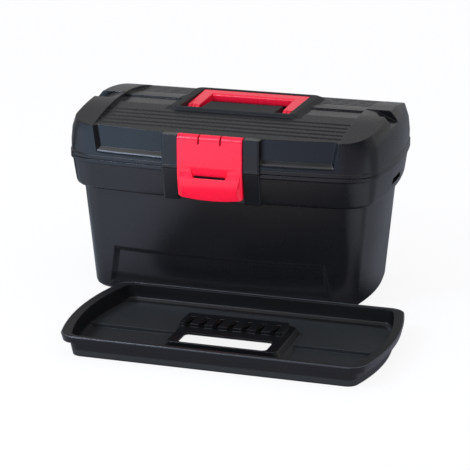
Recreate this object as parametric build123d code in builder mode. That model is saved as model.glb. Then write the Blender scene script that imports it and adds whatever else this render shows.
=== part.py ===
"""Moulded plastic toolbox with a hinged lid, a drop latch, a folding carry handle and a loose tray.

The frame is in millimetres, +Z up, with its origin on the ground under the middle of the box.
The length of the box runs along X, the latch is on the -Y side and the lid hinges on the +Y side.
The tray stands on the ground in front of the box.
"""

import os
from math import ceil, cos, pi, sin, sqrt

from build123d import *

# ---------------------------------------------------------------- driving dimensions: box
BOX_LENGTH = 356.0  # over the bowed ends, at the seam
BOX_DEPTH = 224.0  # over the bowed front and back, at the seam
END_BOW = 11.0  # rise of each bowed end
SIDE_BOW = 12.3  # rise of the bowed front and back
CORNER_RADIUS = 38.0
CORNER_SHRINK = 0.7  # share of an inset that the corner radius loses
WALL = 3.0
SEAM_HEIGHT = 153.6
SEAM_GAP = 0.4  # between the lid's edge and the rim of the body
SHOULDER_HEIGHT = 118.0  # underside of the rim band
BAND_INSET = 5.5  # how far the foot of the rim band lies inside the seam outline
WALL_INSET = 12.5  # how far the body wall lies inside the seam outline below the band
FLOOR_INSET = 22.0  # the same at the ground
BAND_RADIUS = 5.0
FLOOR_RADIUS = 7.0
ROUNDING_STEPS = 3  # facets of a quarter turn on the bowed outlines
WALL_BAND = 30.0  # tallest band in which a drafted wall is lofted
RIM_BEAD = 5.0  # height of the bead round the rim
RIM_BEAD_STEP = 1.0  # how far it stands out of the band
RIM_EDGE = 0.6  # chamfer of its upper edge
FLOOR_THICKNESS = 3.5

# Recessed panel low on the front of the body
PANEL_END_TOP = 67.0  # from the ends of the box
PANEL_END_FOOT = 57.0
PANEL_TOP = 53.0
PANEL_FOOT = 9.0
PANEL_DEPTH = 4.5
PANEL_BEVEL = 6.0

# Slots through the ends of the rim band
END_SLOT_HEIGHT = 6.8
END_SLOT_RISE = 9.6  # from the underside of the band to the foot of the slots
END_SLOT_HALF_TOP = 16.0
END_SLOT_HALF_FOOT = 20.0

# ---------------------------------------------------------------- driving dimensions: lid
LID_FRONT_HEIGHT = 36.4  # from the seam to the front corners, where the arched top starts
CREASE_HALF_DEPTH = 100.5  # depth of that point from the middle
ARCH_RISE = 13.0  # of the arched top over those corners
LID_LEAN = 1.5  # how far the front and back of the lid lean in, up to the crease
LID_FLANGE = 3.4  # height of the flange round the lid's edge
LID_FLANGE_STEP = 0.7  # how far it stands out of the lid
CROWN_MARGIN = 2.0  # of the blank over the arched top
CAP_ROUND_RISE = 14.4  # from the seam to where the ends of the lid start to round in
CAP_ROUND_RUN = 20.0  # how far they round in
CAP_ROUND_STEPS = 4
HOLLOW_ROUND_STEPS = 2  # the same for the hollow inside
LID_WALL = 2.8
LID_CEILING_DROP = 8.6  # from the arched top of the caps to the ceiling inside
CAP_WIDTH_FRONT = 43.0  # from the ends of the box to the fluted panel, at the front
CAP_WIDTH_REAR = 38.0
FLUTED_DROP = 1.4  # of the fluted panel below the front corners
FLUTED_SUNK = 4.4  # of its highest part below the arched top
CHANNEL_FRONT = 22.0
CHANNEL_REAR = 13.0
CHANNEL_DEPTH = 1.6
FLUTE_PITCH = 10.8
FLUTE_WIDTH = 4.6
FLUTE_DEPTH = 1.9
FLUTE_COUNT = 5
FLUTE_FIRST = 45.8  # from the middle of the lid to the first flute
NOTCH_FRONT = 22.0
NOTCH_REAR = 5.0
NOTCH_LENGTH = 28.0  # of the part where the notches fall towards the ends of the box
NOTCH_SHALLOW = 1.6  # depth of the notches there
NOTCH_DEPTH = 15.0  # the same at the ends of the box
RECESS_DEPTH = 4.6  # panels on the front of the lid, each side of the latch
RECESS_BEVEL = 5.5
RECESS_END_TOP = 46.0  # from the ends of the box, at the front corners of the lid
RECESS_END_FOOT = 53.5
RECESS_RISE = 6.9  # from the seam
RECESS_LIP_RADIUS = 5.0  # rounding between the lower bevel and the front of the lid

# ---------------------------------------------------------------- driving dimensions: latch and its boss
BOSS_HALF = 53.7
BOSS_STAND = 2.3  # how far the boss stands in front of the box
BOSS_FALL = 6.5  # how far its foot falls back
BOSS_DROP = 0.5  # of its top below the front corners of the lid
BOSS_CORNER = 2.0
LATCH_HALF = 35.5
LATCH_CLEARANCE = 0.6
LATCH_FOOT_LIFT = 2.5  # above the foot of the boss
LATCH_FOOT_RISE = 3.3  # how much higher the curved foot ends at the sides
LATCH_FALL = 5.5  # how far the foot of the latch falls back
LATCH_CURVE = 37.5  # height over which the plate curves back to its foot
LATCH_CORNER = 2.0
LATCH_FLANGE = 2.0
LATCH_FLANGE_GAP = 1.6  # between the side flanges and the back of the channel
LATCH_FLANGE_DROP = 9.0  # below the pin
PAD_HEIGHT = 31.5  # of the raised pad under the scoop, which fingers pull
PAD_LIP_HEIGHT = 23.5
PAD_BREAK_HEIGHT = 13.5
PAD_STAND = 2.0  # in front of the plate
PAD_FOOT_STAND = 2.6
PAD_HALF_TOP = 34.0
PAD_HALF_FOOT = 27.5
LATCH_PIN_DROP = 4.5  # below the top of the boss
LATCH_BARREL_RADIUS = 6.0
LATCH_STAND = 2.0  # in front of the boss
LATCH_THICKNESS = 3.2
CHANNEL_SUNK = 10.7  # depth of the latch channel in the boss
LATCH_PIN_RADIUS = 1.5
LATCH_PIN_REACH = 8.0  # into the boss at each side
LATCH_SLOT_OFFSET = 12.0
LATCH_SLOT_WIDTH = 1.9
LATCH_SLOT_GAP = 0.5  # under the lugs
LATCH_TRAVEL_CLEARANCE = 0.4
LUG_THICKNESS = 1.2
LUG_RIM = 1.5  # plastic round the pin bore
SCOOP_TOP_RISE = 35.5  # of its upper edge above the foot of the latch
SCOOP_SLIT_RISE = 25.0  # of the slit
SCOOP_HALF_TOP = 21.5
SCOOP_HALF_FOOT = 17.0
SCOOP_DEPTH = 3.4
SCOOP_SLIT_HEIGHT = 2.0
SCOOP_SLIT_DEPTH = 6.0
SCOOP_RIM = 1.6  # plastic behind the scoop
CATCH_RISE = 16.0  # above the foot of the boss
CATCH_HALF = 26.0
CATCH_DEPTH = 3.2
CATCH_THICKNESS = 3.0

# ---------------------------------------------------------------- driving dimensions: handle
BLOCK_RISE = 9.6  # above the pivot of the handle
BLOCK_FRONT = 35.0
BLOCK_REAR_RIM = 4.5  # behind the pocket
BLOCK_SIDE_RIM = 5.5  # beside the pocket, at its front
BLOCK_SPREAD = 4.0  # how much wider that is at the rear
BLOCK_FLARE = 20.4  # run of the sloping sides, down to the foot of the fluted panel
BLOCK_CORNER = 7.0
POCKET_FLOOR_GAP = 1.0  # under the feet of the handle
POCKET_FRONT = 31.0
POCKET_REAR_GAP = 3.0  # behind the grip bar
POCKET_WALL = 3.0
RAMP_HALF = 40.0  # sloping floor in front of the grip bar
RAMP_DROP = 3.0  # of its upper edge below the top of the block
RAMP_REAR = 20.0
HANDLE_HALF = 61.2
HANDLE_CLEARANCE = 0.8
HANDLE_ARM = 13.5
HANDLE_PIVOT_DEPTH = -1.8  # Y of the pivot
HANDLE_PIVOT_HEIGHT = 191.0
HANDLE_FOOT_RADIUS = 6.0
HANDLE_REAR = 55.5
HANDLE_SUNK = 0.6  # below the top of the block
GRIP_DEPTH = 15.0
GRIP_HEIGHT = 10.5
GRIP_RADIUS = 3.0
FOOT_GROOVE = 1.3
FOOT_GROOVE_PITCH = 4.2
FOOT_GROOVE_DEPTH = 1.0
HANDLE_PIN_RADIUS = 2.5
HANDLE_PIN_REACH = 7.0  # into the foot of the handle
HANDLE_PIN_BOSS = 4.0  # outside the wall of the pocket
HANDLE_PIN_RIM = 2.5

# ---------------------------------------------------------------- driving dimensions: rear hinges
HINGE_END = 82.0  # from the ends of the box to the middle of each hinge
HINGE_STAND = 4.8  # of the hinge line behind the box
HINGE_RADIUS = 4.6
HINGE_PIN_RADIUS = 2.0
HINGE_KNUCKLE = 16.0
HINGE_EAR = 9.0
HINGE_SIDE_GAP = 0.3
HINGE_WEB = 14.0
RUNNING_FIT = 0.08

# ---------------------------------------------------------------- driving dimensions: tray
TRAY_LENGTH = 336.0
TRAY_DEPTH = 182.0
TRAY_END_BOW = 14.0
TRAY_CORNER = 16.0
TRAY_HEIGHT = 23.0
TRAY_WALL = 2.2
TRAY_LIP_HEIGHT = 7.0
TRAY_LIP_FLARE = 1.5  # run of the lip's outer face
TRAY_LIP_WALL = 1.8
TRAY_END_OVERHANG = 8.0  # of the rim over the end walls
TRAY_SIDE_OVERHANG = 4.0  # of the rim over the front and rear walls
TRAY_END_DRAFT = 1.5  # run of the walls from the lip down to the ground
TRAY_SIDE_DRAFT = 5.0
TRAY_FLOOR_COVE = 2.6
TRAY_FRONT_FLOOR = 2.5
TRAY_REAR_FLOOR = 6.5
TRAY_STEP = -1.5  # Y of the step between the two floors
TRAY_OFFSET_X = 56.8
TRAY_GAP = 2.8  # between the front of the box and the rear of the tray

# Hand-hold block in the tray, with the higher bit holder behind it
HOLD_HALF = 57.5
HOLD_SIDE_DRAFT = 8.5
HOLD_END_DRAFT = 2.0
HOLD_FRONT = -48.5
HOLD_HEIGHT = 13.5
HOLD_CORNER = 7.0
HOLD_OPENING_SIDE_RIM = 11.0
HOLD_OPENING_FRONT_RIM = 2.5
HOLD_OPENING_REAR_RIM = 17.0  # in front of the bit holder
HOLD_OPENING_CORNER = 5.0
HOLDER_SHIFT = -5.0  # of the bit holder to the left
HOLDER_HALF = 54.5
HOLDER_FRONT = -1.5
HOLDER_REAR = 31.0
HOLDER_HEIGHT = 17.0
HOLDER_DRAFT = 3.5
HOLDER_CORNER = 4.0
BIT_SLOTS = 7
BIT_SLOT_PITCH = 15.2
BIT_SLOT_WIDTH = 5.8
BIT_SLOT_LENGTH = 21.5

os.makedirs("parts", exist_ok=True)

# ---------------------------------------------------------------- places that follow from the sizes
END_SLOT_FOOT = SHOULDER_HEIGHT + END_SLOT_RISE
END_SLOT_TOP = END_SLOT_FOOT + END_SLOT_HEIGHT
CREASE_HEIGHT = SEAM_HEIGHT + LID_FRONT_HEIGHT
ARCH_TOP = CREASE_HEIGHT + ARCH_RISE
CAP_ROUND_START = SEAM_HEIGHT + CAP_ROUND_RISE
FLUTED_HALF_FRONT = BOX_LENGTH / 2 - CAP_WIDTH_FRONT
FLUTED_HALF_REAR = BOX_LENGTH / 2 - CAP_WIDTH_REAR
FLUTED_START_HEIGHT = CREASE_HEIGHT - FLUTED_DROP
FLUTED_TOP = ARCH_TOP - FLUTED_SUNK
NOTCH_BEND = BOX_LENGTH / 2 - NOTCH_LENGTH
RECESS_HALF_TOP = BOX_LENGTH / 2 - RECESS_END_TOP
RECESS_HALF_FOOT = BOX_LENGTH / 2 - RECESS_END_FOOT
RECESS_FOOT = SEAM_HEIGHT + RECESS_RISE
PANEL_HALF_TOP = BOX_LENGTH / 2 - PANEL_END_TOP
PANEL_HALF_FOOT = BOX_LENGTH / 2 - PANEL_END_FOOT

BOSS_FACE = BOX_DEPTH / 2 + BOSS_STAND
BOSS_FOOT_FACE = BOSS_FACE - BOSS_FALL
BOSS_TOP = CREASE_HEIGHT - BOSS_DROP
LATCH_CHANNEL = BOSS_FACE - CHANNEL_SUNK
CATCH_HEIGHT = SHOULDER_HEIGHT + CATCH_RISE
LATCH_FACE = BOSS_FACE + LATCH_STAND
LATCH_FOOT_FACE = LATCH_FACE - LATCH_FALL
LATCH_FOOT = SHOULDER_HEIGHT + LATCH_FOOT_LIFT
LATCH_BEND = LATCH_FOOT + LATCH_CURVE
LATCH_PIN_HEIGHT = BOSS_TOP - LATCH_PIN_DROP
LATCH_FLANGE_BACK = LATCH_CHANNEL + LATCH_FLANGE_GAP
LATCH_FLANGE_TOP = LATCH_PIN_HEIGHT - LATCH_FLANGE_DROP
PAD_TOP = LATCH_FOOT + PAD_HEIGHT
PAD_LIP = LATCH_FOOT + PAD_LIP_HEIGHT
PAD_BREAK = LATCH_FOOT + PAD_BREAK_HEIGHT
PAD_FACE = LATCH_FACE + PAD_STAND
PAD_FOOT_FACE = LATCH_FOOT_FACE + PAD_FOOT_STAND
SCOOP_TOP = LATCH_FOOT + SCOOP_TOP_RISE
SCOOP_SLIT = LATCH_FOOT + SCOOP_SLIT_RISE
lug_radius = LATCH_PIN_RADIUS + LUG_RIM
LATCH_SLOT_FOOT = LATCH_PIN_HEIGHT - lug_radius - LATCH_SLOT_GAP
channel_half = LATCH_HALF + LATCH_CLEARANCE
channel_back = LATCH_CHANNEL - WALL
latch_pin_y = LATCH_BARREL_RADIUS - LATCH_FACE
latch_pin_length = 2 * (channel_half + LATCH_PIN_REACH)
hook_tip = -LATCH_CHANNEL - CATCH_DEPTH - LATCH_TRAVEL_CLEARANCE

pocket_half = HANDLE_HALF + HANDLE_CLEARANCE
POCKET_FLOOR = HANDLE_PIVOT_HEIGHT - HANDLE_FOOT_RADIUS - POCKET_FLOOR_GAP
POCKET_REAR = HANDLE_REAR + POCKET_REAR_GAP
BLOCK_TOP = HANDLE_PIVOT_HEIGHT + BLOCK_RISE
BLOCK_REAR = POCKET_REAR + BLOCK_REAR_RIM
BLOCK_HALF_FRONT = pocket_half + BLOCK_SIDE_RIM
BLOCK_HALF_REAR = BLOCK_HALF_FRONT + BLOCK_SPREAD
RAMP_TOP = BLOCK_TOP - RAMP_DROP
HANDLE_TOP = BLOCK_TOP - HANDLE_SUNK
handle_pin_length = HANDLE_PIN_REACH + HANDLE_CLEARANCE + POCKET_WALL + HANDLE_PIN_BOSS / 2
handle_pin_centre = HANDLE_HALF - HANDLE_PIN_REACH + handle_pin_length / 2

HINGE_DEPTH = BOX_DEPTH / 2 + HINGE_STAND
HINGE_OFFSET = BOX_LENGTH / 2 - HINGE_END
hinge_pin_length = HINGE_KNUCKLE + 2 * (HINGE_SIDE_GAP + HINGE_EAR)
hinge_root = BOX_DEPTH / 2 - SIDE_BOW - BAND_INSET

TRAY_OFFSET_Y = -BOX_DEPTH / 2 - TRAY_GAP - TRAY_DEPTH / 2
HOLD_OPENING_HALF = HOLD_HALF - HOLD_OPENING_SIDE_RIM
HOLD_OPENING_FRONT = HOLD_FRONT + HOLD_OPENING_FRONT_RIM
HOLD_OPENING_REAR = HOLDER_FRONT - HOLD_OPENING_REAR_RIM
BIT_SLOT_REAR = HOLDER_FRONT + BIT_SLOT_LENGTH


def bowed_outline(length: float, depth: float, end_bow: float, side_bow: float, corner: float) -> Sketch:
    """Rectangle on the XY plane with four bowed sides and rounded corners."""
    corner_x = length / 2 - end_bow
    corner_y = depth / 2 - side_bow
    with BuildSketch() as outline:
        with BuildLine():
            ThreePointArc((-corner_x, -corner_y), (0, -depth / 2), (corner_x, -corner_y))
            ThreePointArc((corner_x, -corner_y), (length / 2, 0), (corner_x, corner_y))
            ThreePointArc((corner_x, corner_y), (0, depth / 2), (-corner_x, corner_y))
            ThreePointArc((-corner_x, corner_y), (-length / 2, 0), (-corner_x, -corner_y))
        make_face()
        fillet(outline.vertices(), corner)
    return outline.sketch


def box_outline(end_inset: float, side_inset: float) -> Sketch:
    """Outline of the box at the seam, set in by the given amounts."""
    corner = CORNER_RADIUS - max(end_inset, side_inset) * CORNER_SHRINK
    return bowed_outline(BOX_LENGTH - 2 * end_inset, BOX_DEPTH - 2 * side_inset, END_BOW, SIDE_BOW, corner)


def outline_stack(*levels: tuple[float, float, float]) -> Part:
    """Solid through outlines of the box, each given as height, end inset and side inset."""
    outlines = [levels[0]]
    for low, high in zip(levels, levels[1:]):
        bands = ceil((high[0] - low[0]) / WALL_BAND)
        for band in range(1, bands + 1):
            outlines.append(tuple(start + (end - start) * band / bands for start, end in zip(low, high)))
    with BuildPart() as stack:
        for pair in zip(outlines, outlines[1:]):
            for height, end_inset, side_inset in pair:
                with BuildSketch(Plane.XY.offset(height)):
                    add(box_outline(end_inset, side_inset))
            loft(ruled=True)
    return stack.part


def rounded_foot(height: float, radius: float, inset_at) -> list[tuple[float, float, float]]:
    """Levels of an outline stack that round a wall off into its underside at a height."""
    levels = []
    for step in range(ROUNDING_STEPS + 1):
        turn = pi / 2 * step / ROUNDING_STEPS
        level = height + radius * (1 - cos(turn))
        inset = inset_at(level) + radius * (1 - sin(turn))
        levels.append((level, inset, inset))
    return levels


def tray_outline(end_inset: float, side_inset: float) -> Sketch:
    """Outline of the tray on the XY plane: straight front and rear, bowed ends."""
    half_length = TRAY_LENGTH / 2 - end_inset
    corner_x = half_length - TRAY_END_BOW
    half_depth = TRAY_DEPTH / 2 - side_inset
    with BuildSketch() as outline:
        with BuildLine():
            Line((-corner_x, -half_depth), (corner_x, -half_depth))
            ThreePointArc((corner_x, -half_depth), (half_length, 0), (corner_x, half_depth))
            Line((corner_x, half_depth), (-corner_x, half_depth))
            ThreePointArc((-corner_x, half_depth), (-half_length, 0), (-corner_x, -half_depth))
        make_face()
        fillet(outline.vertices(), TRAY_CORNER - max(end_inset, side_inset) / 2)
    return outline.sketch


def hinge_bores(radius: float) -> Part:
    """Rods on the axis of the two rear hinges, the length of a hinge pin."""
    with BuildPart() as rods:
        with BuildSketch(Plane.YZ):
            with Locations((HINGE_DEPTH, SEAM_HEIGHT)):
                Circle(radius)
        extrude(amount=HINGE_OFFSET + hinge_pin_length / 2, both=True)
        Box(2 * HINGE_OFFSET - hinge_pin_length, BOX_DEPTH * 2, BOX_DEPTH * 2, mode=Mode.SUBTRACT)
    return rods.part


def boss_outline(half: float, face: float, back: float) -> Sketch:
    """Rectangle in front of the box, with its two front corners rounded."""
    with BuildSketch() as outline:
        with Locations((0, -face)):
            Rectangle(2 * half, face - back, align=(Align.CENTER, Align.MIN))
        fillet(outline.vertices().group_by(Axis.Y)[0], BOSS_CORNER)
    return outline.sketch


def cross_pin(centre_x: float, y: float, z: float, radius: float, length: float) -> Part:
    """Round pin lying along X."""
    with BuildPart() as pin:
        with BuildSketch(Plane.YZ.offset(centre_x - length / 2)):
            with Locations((y, z)):
                Circle(radius)
        extrude(amount=length)
    return pin.part


def handle_pin_rod(side: int) -> Part:
    """Pin that carries one foot of the handle, from the lid's boss into the foot."""
    centre_x = side * handle_pin_centre
    return cross_pin(centre_x, HANDLE_PIVOT_DEPTH, HANDLE_PIVOT_HEIGHT, HANDLE_PIN_RADIUS, handle_pin_length)


# ---------------------------------------------------------------- body
rim_height = SEAM_HEIGHT - SEAM_GAP
ledge_height = SHOULDER_HEIGHT + WALL
wall_slope = (FLOOR_INSET - WALL_INSET) / SHOULDER_HEIGHT
cavity_floor_inset = FLOOR_INSET - wall_slope * FLOOR_THICKNESS + WALL
cavity_wall_inset = WALL_INSET + WALL
bead_foot = rim_height - RIM_BEAD


def wall_inset_at(height: float) -> float:
    """Inset of the body's drafted wall from the seam outline."""
    return FLOOR_INSET - wall_slope * height


def band_inset_at(height: float) -> float:
    """Inset of the rim band from the seam outline, below the bead."""
    share = (rim_height - height) / (rim_height - SHOULDER_HEIGHT)
    return RIM_BEAD_STEP + (BAND_INSET - RIM_BEAD_STEP) * share


with BuildPart() as panel_recess:
    # Wedge in front of the wall, with bevelled sides
    for height, half in ((PANEL_FOOT, PANEL_HALF_FOOT), (PANEL_TOP, PANEL_HALF_TOP)):
        inner_y = -(BOX_DEPTH / 2 - wall_inset_at(height) - SIDE_BOW - PANEL_DEPTH)
        outer_half = half + PANEL_BEVEL * (BOX_DEPTH / 2 + inner_y) / PANEL_DEPTH
        with BuildSketch(Plane.XY.offset(height)):
            Polygon(
                (-outer_half, -BOX_DEPTH / 2),
                (outer_half, -BOX_DEPTH / 2),
                (half - PANEL_BEVEL, inner_y),
                (PANEL_BEVEL - half, inner_y),
                align=None,
            )
    loft(ruled=True)
    # What stays of the body behind it
    bevel_foot = PANEL_FOOT + PANEL_BEVEL
    bevel_top = PANEL_TOP - PANEL_BEVEL
    add(
        outline_stack(
            (0, FLOOR_INSET, FLOOR_INSET),
            (PANEL_FOOT, wall_inset_at(PANEL_FOOT), wall_inset_at(PANEL_FOOT)),
            (bevel_foot, wall_inset_at(bevel_foot), wall_inset_at(bevel_foot) + PANEL_DEPTH),
            (bevel_top, wall_inset_at(bevel_top), wall_inset_at(bevel_top) + PANEL_DEPTH),
            (PANEL_TOP, wall_inset_at(PANEL_TOP), wall_inset_at(PANEL_TOP)),
            (SHOULDER_HEIGHT, WALL_INSET, WALL_INSET),
        ),
        mode=Mode.SUBTRACT,
    )

with BuildPart() as body:
    # Drafted lower walls
    add(
        outline_stack(
            *rounded_foot(0, FLOOR_RADIUS, wall_inset_at),
            (SHOULDER_HEIGHT, WALL_INSET, WALL_INSET),
        )
    )
    add(panel_recess.part, mode=Mode.SUBTRACT)

    # Rim band that the lid closes on, with a bead round its edge
    add(
        outline_stack(
            *rounded_foot(SHOULDER_HEIGHT, BAND_RADIUS, band_inset_at),
            (bead_foot, band_inset_at(bead_foot), band_inset_at(bead_foot)),
            (bead_foot + RIM_BEAD_STEP, 0, 0),
            (rim_height - RIM_EDGE, 0, 0),
            (rim_height, RIM_EDGE, RIM_EDGE),
        )
    )

    # Ears of the two rear hinges
    for centre in (-HINGE_OFFSET, HINGE_OFFSET):
        for side in (-1, 1):
            inner = centre + side * (HINGE_KNUCKLE / 2 + HINGE_SIDE_GAP)
            with BuildSketch(Plane.YZ.offset(inner)):
                with Locations((HINGE_DEPTH, SEAM_HEIGHT)):
                    Circle(HINGE_RADIUS)
                Polygon(
                    (hinge_root, rim_height),
                    (HINGE_DEPTH, rim_height),
                    (HINGE_DEPTH + HINGE_RADIUS / 2, SEAM_HEIGHT - HINGE_RADIUS * sqrt(3) / 2),
                    (hinge_root, SEAM_HEIGHT - 2 * HINGE_WEB),
                    align=None,
                )
            extrude(amount=side * HINGE_EAR)

    # Slots through both ends of the band
    with BuildSketch(Plane.YZ):
        Polygon(
            (-END_SLOT_HALF_FOOT, END_SLOT_FOOT),
            (END_SLOT_HALF_FOOT, END_SLOT_FOOT),
            (END_SLOT_HALF_TOP, END_SLOT_TOP),
            (-END_SLOT_HALF_TOP, END_SLOT_TOP),
            align=None,
        )
    extrude(amount=BOX_LENGTH, both=True, mode=Mode.SUBTRACT)

    # Hollow inside: below the tray ledge, then the wider mouth above it
    add(
        outline_stack(
            (FLOOR_THICKNESS, cavity_floor_inset, cavity_floor_inset + PANEL_DEPTH),
            (bevel_top, wall_inset_at(bevel_top) + WALL, wall_inset_at(bevel_top) + WALL + PANEL_DEPTH),
            (PANEL_TOP + WALL, wall_inset_at(PANEL_TOP) + WALL, wall_inset_at(PANEL_TOP) + WALL),
            (ledge_height, cavity_wall_inset, cavity_wall_inset),
        ),
        mode=Mode.SUBTRACT,
    )
    add(
        outline_stack((ledge_height, BAND_INSET + WALL, BAND_INSET + WALL), (rim_height, WALL, WALL)),
        mode=Mode.SUBTRACT,
    )

    # Latch boss on the rim band, its channel and the catch rib across the channel
    for height, face in ((SHOULDER_HEIGHT, BOSS_FOOT_FACE), (rim_height, BOSS_FACE)):
        with BuildSketch(Plane.XY.offset(height)):
            add(boss_outline(BOSS_HALF, face, channel_back))
    loft(ruled=True)
    with BuildSketch(Plane.XY.offset(SHOULDER_HEIGHT)):
        with Locations((0, -BOSS_FACE)):
            Rectangle(2 * channel_half, BOSS_FACE - LATCH_CHANNEL, align=(Align.CENTER, Align.MIN))
    extrude(amount=rim_height - SHOULDER_HEIGHT, mode=Mode.SUBTRACT)
    with BuildSketch(Plane.XY.offset(CATCH_HEIGHT)):
        with Locations((0, -LATCH_CHANNEL)):
            Rectangle(2 * CATCH_HALF, CATCH_DEPTH, align=(Align.CENTER, Align.MAX))
    extrude(amount=CATCH_THICKNESS)
    add(hinge_bores(HINGE_PIN_RADIUS), mode=Mode.SUBTRACT)

body.part.label = "body"
export_step(body.part, "parts/body.step")


# ---------------------------------------------------------------- lid
arch_radius = (CREASE_HALF_DEPTH**2 + ARCH_RISE**2) / (2 * ARCH_RISE)
lid_blank_top = ARCH_TOP + CROWN_MARGIN
lid_front_inset = LID_LEAN + RECESS_DEPTH + LID_WALL
lip_rise = RECESS_LIP_RADIUS * sqrt(0.5)
lip_run = RECESS_LIP_RADIUS - lip_rise
bevel_height = RECESS_FOOT + lip_rise + RECESS_DEPTH - lip_run
recess_spread = (RECESS_HALF_TOP - RECESS_HALF_FOOT) / (CREASE_HEIGHT - RECESS_FOOT)
flange_top = SEAM_HEIGHT + LID_FLANGE
channel_floor = FLUTED_TOP - CHANNEL_DEPTH
panel_slope = (FLUTED_TOP - FLUTED_START_HEIGHT) / (BOX_DEPTH / 2 - CHANNEL_FRONT)


def lid_lean_at(height: float) -> float:
    """Inset of the leaning front of the lid at a height over its flange."""
    return LID_FLANGE_STEP + LID_LEAN * (height - SEAM_HEIGHT) / (CREASE_HEIGHT - SEAM_HEIGHT)


def rounded_ends(skin: float, front_inset: float, steps: int) -> list[tuple[float, float, float]]:
    """Levels of an outline stack that round the ends of the lid in towards its top."""
    levels = []
    for step in range(steps + 1):
        turn = pi / 2 * step / steps
        level = CAP_ROUND_START + (lid_blank_top - CAP_ROUND_START) * sin(turn)
        end_inset = LID_FLANGE_STEP + CAP_ROUND_RUN * (1 - cos(turn)) + skin
        levels.append((level, end_inset, lid_lean_at(level) + front_inset))
    return levels


def fluted_height(distance: float) -> float:
    """Height of the fluted panel at a distance from the middle of the lid."""
    return FLUTED_TOP - panel_slope * (distance - CHANNEL_FRONT)


with BuildPart() as fluted_recess:
    # Everything over the fluted panel, between the two end caps
    with BuildSketch(Plane.YZ):
        far = BOX_DEPTH / 2 + WALL
        Polygon(
            (-far, fluted_height(far)),
            (-CHANNEL_FRONT, FLUTED_TOP),
            (-CHANNEL_FRONT, channel_floor),
            (CHANNEL_REAR, channel_floor),
            (CHANNEL_REAR, FLUTED_TOP),
            (CHANNEL_FRONT, FLUTED_TOP),
            (far, fluted_height(far)),
            (far, lid_blank_top),
            (-far, lid_blank_top),
            align=None,
        )
    extrude(amount=BOX_LENGTH / 2, both=True)
    # Straight flutes, the same in front and behind
    with BuildSketch(Plane.YZ):
        for index in range(FLUTE_COUNT):
            distance = FLUTE_FIRST + index * FLUTE_PITCH
            for side in (-1, 1):
                near = distance - FLUTE_WIDTH / 2
                off = distance + FLUTE_WIDTH / 2
                Polygon(
                    (side * near, fluted_height(near)),
                    (side * distance, fluted_height(distance) - FLUTE_DEPTH),
                    (side * off, fluted_height(off)),
                    (side * distance, ARCH_TOP),
                    align=None,
                )
    extrude(amount=BOX_LENGTH / 2, both=True)
    # The caps' inner walls spread towards the rear
    with BuildSketch(Plane.XY.offset(FLUTED_START_HEIGHT - lid_blank_top / 2)):
        Polygon(
            (-FLUTED_HALF_FRONT, -far),
            (FLUTED_HALF_FRONT, -far),
            (FLUTED_HALF_REAR, far),
            (-FLUTED_HALF_REAR, far),
            align=None,
        )
    extrude(amount=lid_blank_top, mode=Mode.INTERSECT)

with BuildPart() as front_recesses:
    # Sunken panels on the front of the lid, open at the top, beside the latch boss
    for height in (RECESS_FOOT, lid_blank_top):
        half = RECESS_HALF_FOOT + recess_spread * (height - RECESS_FOOT)
        inner_y = -(BOX_DEPTH / 2 - SIDE_BOW - LID_LEAN - RECESS_DEPTH)
        reach = RECESS_BEVEL * (BOX_DEPTH / 2 + WALL + inner_y) / RECESS_DEPTH
        with BuildSketch(Plane.XY.offset(height)):
            Polygon(
                (-half - reach + RECESS_BEVEL, -BOX_DEPTH / 2 - WALL),
                (half + reach - RECESS_BEVEL, -BOX_DEPTH / 2 - WALL),
                (half - RECESS_BEVEL, inner_y),
                (RECESS_BEVEL - half, inner_y),
                align=None,
            )
    loft(ruled=True)
    add(
        outline_stack(
            (SEAM_HEIGHT, 0, 0),
            (RECESS_FOOT, 0, lid_lean_at(RECESS_FOOT)),
            (RECESS_FOOT + lip_rise / 2, 0, lid_lean_at(RECESS_FOOT) + lip_run / 4),
            (RECESS_FOOT + lip_rise, 0, lid_lean_at(RECESS_FOOT) + lip_run),
            (bevel_height, 0, lid_lean_at(bevel_height) + RECESS_DEPTH),
            (lid_blank_top, 0, lid_lean_at(lid_blank_top) + RECESS_DEPTH),
        ),
        mode=Mode.SUBTRACT,
    )


def notch_wedges(skin: float) -> Part:
    """Room over the outer ends of the caps, where the middle channel runs out, grown by a skin."""
    slope = (NOTCH_DEPTH - NOTCH_SHALLOW) / (BOX_LENGTH / 2 - NOTCH_BEND)
    far_x = BOX_LENGTH / 2 + WALL
    with BuildPart() as wedges:
        with BuildSketch(Plane.XZ.offset(CHANNEL_FRONT + skin)):
            for side in (-1, 1):
                Polygon(
                    (side * FLUTED_HALF_FRONT, ARCH_TOP - skin),
                    (side * NOTCH_BEND, ARCH_TOP - NOTCH_SHALLOW - skin),
                    (side * far_x, ARCH_TOP - NOTCH_DEPTH - WALL * slope - skin),
                    (side * far_x, lid_blank_top),
                    (side * FLUTED_HALF_FRONT, lid_blank_top),
                    align=None,
                )
        extrude(amount=-(CHANNEL_FRONT + NOTCH_REAR + 2 * skin))
    return wedges.part


with BuildPart() as lid_hollow:
    hollow_inset = LID_FLANGE_STEP + LID_WALL
    add(
        outline_stack(
            (SEAM_HEIGHT, hollow_inset, hollow_inset),
            (RECESS_FOOT, hollow_inset, hollow_inset),
            *rounded_ends(LID_WALL, RECESS_DEPTH + LID_WALL, HOLLOW_ROUND_STEPS),
        )
    )
    with BuildSketch(Plane.YZ):
        with Locations((0, ARCH_TOP - arch_radius)):
            Circle(arch_radius - LID_CEILING_DROP)
    extrude(amount=BOX_LENGTH, both=True, mode=Mode.INTERSECT)
    add(notch_wedges(LID_WALL), mode=Mode.SUBTRACT)

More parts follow.
